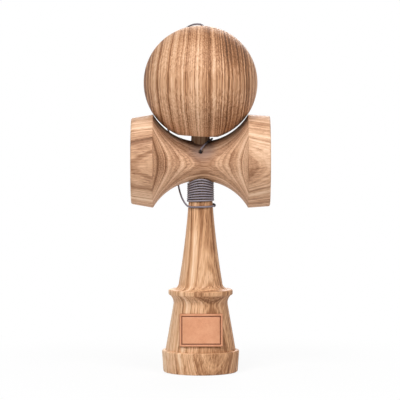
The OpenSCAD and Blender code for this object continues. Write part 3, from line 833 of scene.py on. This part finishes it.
def leather_material():
    """Natural leather: pebbled grain, soft mottling, a burnt border line and darker cut edges."""
    material, tree, shader = new_material("leather_natural")
    uv = put(tree, "SeparateXYZ", {0: put(tree, "UVMap", uv_map="badge").outputs[0]}).outputs
    x, y = (calc(tree, "MULTIPLY", calc(tree, "ABSOLUTE", uv[i]), 1 / BADGE_UV) for i in (0, 1))
    inside_x = calc(tree, "SUBTRACT", BADGE_W / 2, x)
    inside_y = calc(tree, "SUBTRACT", BADGE_H / 2, y)
    inside = calc(tree, "MINIMUM", inside_x, inside_y)
    spot = put(tree, "TexCoord").outputs["Object"]
    pebbles = {"Vector": spot, "Scale": 2600.0, "Randomness": 1.0}
    cells = put(tree, "TexVoronoi", pebbles, feature="F1").outputs[0]
    mottle = noise(tree, spot, (240.0, 240.0, 240.0), 3.0, 0.55, 2.0)
    speck = noise(tree, spot, (1900.0, 1900.0, 1900.0), 2.0, 0.6, 6.0)
    wobble = calc(tree, "MULTIPLY_ADD", speck, 0.16, inside)
    border = span(tree, wobble, BURNT_FROM, BURNT_FULL)
    border = calc(tree, "MULTIPLY", border, span(tree, wobble, BURNT_WANES, BURNT_END, 1.0, 0.0))
    edge = span(tree, wobble, CUT_FROM, CUT_END, 1.0, 0.0)
    tone = calc(tree, "MULTIPLY_ADD", mottle, 0.6, calc(tree, "MULTIPLY_ADD", speck, 0.35, 0.02))
    tone = calc(tree, "MULTIPLY_ADD", cells, 0.12, tone)
    skin = ramp(tree, tone, [
        (0.2, srgb(188, 124, 88)), (0.5, srgb(212, 148, 111)),
        (0.75, srgb(223, 163, 126)), (1.0, srgb(233, 182, 148)),
    ])
    skin = mixed(tree, calc(tree, "MULTIPLY", edge, 0.75), skin, srgb(150, 92, 58))
    skin = mixed(tree, border, skin, srgb(112, 60, 34))
    tree.links.new(skin, shader.inputs["Base Color"])
    tree.links.new(calc(tree, "MULTIPLY_ADD", mottle, 0.2, 0.46), shader.inputs["Roughness"])
    shader.inputs["Specular IOR Level"].default_value = 0.35
    height = calc(tree, "MULTIPLY_ADD", cells, -0.8, calc(tree, "MULTIPLY", speck, 0.5))
    bump(tree, shader, height, 0.5, 0.00008)
    return material


# Turned parts: faces whose edges lie closer than this, in metres, are joined, and corners over this
# angle stay sharp
WELD = 0.000002
SHARP_ANGLE = math.radians(24)


def turned_group():
    """Joins the faces of a turned CAD part for smooth shading, and keeps its true corners sharp."""
    tree = bpy.data.node_groups.new("turned", "GeometryNodeTree")
    tree.interface.new_socket("Geometry", in_out="INPUT", socket_type="NodeSocketGeometry")
    tree.interface.new_socket("Geometry", in_out="OUTPUT", socket_type="NodeSocketGeometry")
    start = tree.nodes.new("NodeGroupInput")
    end = tree.nodes.new("NodeGroupOutput")
    weld = tree.nodes.new("GeometryNodeMergeByDistance")
    weld.inputs["Distance"].default_value = WELD
    faces = tree.nodes.new("GeometryNodeSetShadeSmooth")
    edges = tree.nodes.new("GeometryNodeSetShadeSmooth")
    edges.domain = "EDGE"
    edges.inputs["Shade Smooth"].default_value = False
    angle = tree.nodes.new("GeometryNodeInputMeshEdgeAngle")
    sharp = tree.nodes.new("FunctionNodeCompare")
    sharp.operation = "GREATER_THAN"
    sharp.inputs[1].default_value = SHARP_ANGLE
    tree.links.new(start.outputs[0], weld.inputs["Geometry"])
    tree.links.new(weld.outputs[0], faces.inputs["Geometry"])
    tree.links.new(faces.outputs[0], edges.inputs["Geometry"])
    tree.links.new(angle.outputs[0], sharp.inputs[0])
    tree.links.new(sharp.outputs[0], edges.inputs["Selection"])
    tree.links.new(edges.outputs[0], end.inputs[0])
    return tree


def dress(piece, material):
    """Gives a piece its one material."""
    piece.data.materials.clear()
    piece.data.materials.append(material)


string_nodes = (
    "string_lead", "string_winding", "string_tether_lower", "string_tether_upper", "tama_knot", "sarado_knot",
)
braid = string_material()
for piece in (*string_pieces, *(nodes[name] for name in string_nodes)):
    dress(piece, braid)
leather = leather_material()
for piece in (badge, nodes["leather_badge"]):
    dress(piece, leather)
turned = turned_group()
for name, material, slot in (
    ("ken", ken_wood, "ken_wood"),
    ("sarado", sarado_wood, "sarado_wood"),
    ("tama", tama_wood, "tama_wood"),
    ("tama_bead", bead_wood, "bead"),
):
    dress(nodes[name], material)
    nodes[name].modifiers.new("turned", "NODES").node_group = turned


def seen_as_background(tree):
    """1 for rays from the camera, or from a gloss or through glass, and 0 for rays that carry light."""
    path = put(tree, "LightPath").outputs
    mirrored = calc(tree, "MAXIMUM", path["Is Glossy Ray"], path["Is Transmission Ray"])
    return calc(tree, "MAXIMUM", path["Is Camera Ray"], mirrored)


# Plain pale floor, in metres: white to the camera, with the object's soft shadow around its foot
FLOOR_HALF, FLOOR_DROP = 6, 0.0002
FLOOR_GREY = 0.86
SHADOW_FROM, SHADOW_TO, SHADOW_WHITE = 0.02, 0.2, 0.90

floor_mesh = bpy.data.meshes.new("floor")
floor_corners = [(x * FLOOR_HALF, y * FLOOR_HALF, 0) for x, y in ((-1, -1), (1, -1), (1, 1), (-1, 1))]
floor_mesh.from_pydata(floor_corners, [], [(0, 1, 2, 3)])
floor = bpy.data.objects.new("floor", floor_mesh)
floor.location.z = -FLOOR_DROP
scene.collection.objects.link(floor)
floor_material = bpy.data.materials.new("floor_white")
tree = empty_tree(floor_material)
matte = put(tree, "BsdfDiffuse", {"Color": (FLOOR_GREY, FLOOR_GREY, FLOOR_GREY, 1)})
white = put(tree, "Emission", {"Color": (1, 1, 1, 1), "Strength": 1.0})
from_foot = vector_calc(tree, "LENGTH", put(tree, "TexCoord").outputs["Object"])
whiteness = span(tree, from_foot, SHADOW_FROM, SHADOW_TO, SHADOW_WHITE, 1.0)
whiteness = calc(tree, "MULTIPLY", seen_as_background(tree), whiteness)
both = put(tree, "MixShader", {0: whiteness, 1: matte.outputs[0], 2: white.outputs[0]})
put(tree, "OutputMaterial", {"Surface": both.outputs[0]})
floor_mesh.materials.append(floor_material)

# World: white to the camera, and a low even fill on the object
WORLD_FILL = 0.04

world = bpy.data.worlds.new("studio")
scene.world = world
tree = empty_tree(world)
strength = span(tree, seen_as_background(tree), 0.0, 1.0, WORLD_FILL, 1.0)
back = put(tree, "Background", {"Color": (1, 1, 1, 1), "Strength": strength})
put(tree, "OutputWorld", {"Surface": back.outputs[0]})

# Soft lamps, in metres, all aimed near the middle of the part
LAMP_TARGET = (0, 0, 0.1)


def softbox(name, place, side, watts):
    """Square lamp with sides of the given length."""
    data = bpy.data.lights.new(name, "AREA")
    data.shape = "SQUARE"
    data.size = side
    data.energy = watts
    lamp = bpy.data.objects.new(name, data)
    lamp.location = place
    way = np.array(LAMP_TARGET, float) - np.array(place, float)
    tilt = math.acos(-way[2] / np.linalg.norm(way))
    lamp.rotation_euler = (tilt, 0, math.atan2(way[1], way[0]) - math.pi / 2)
    scene.collection.objects.link(lamp)


softbox("key", (-0.43, -0.81, 1.09), 0.5, 13.1)
softbox("fill", (0.61, -0.78, 1.09), 0.5, 9.6)
softbox("back", (0.15, 1.25, 0.62), 0.6, 8)

scene.view_settings.view_transform = "Standard"
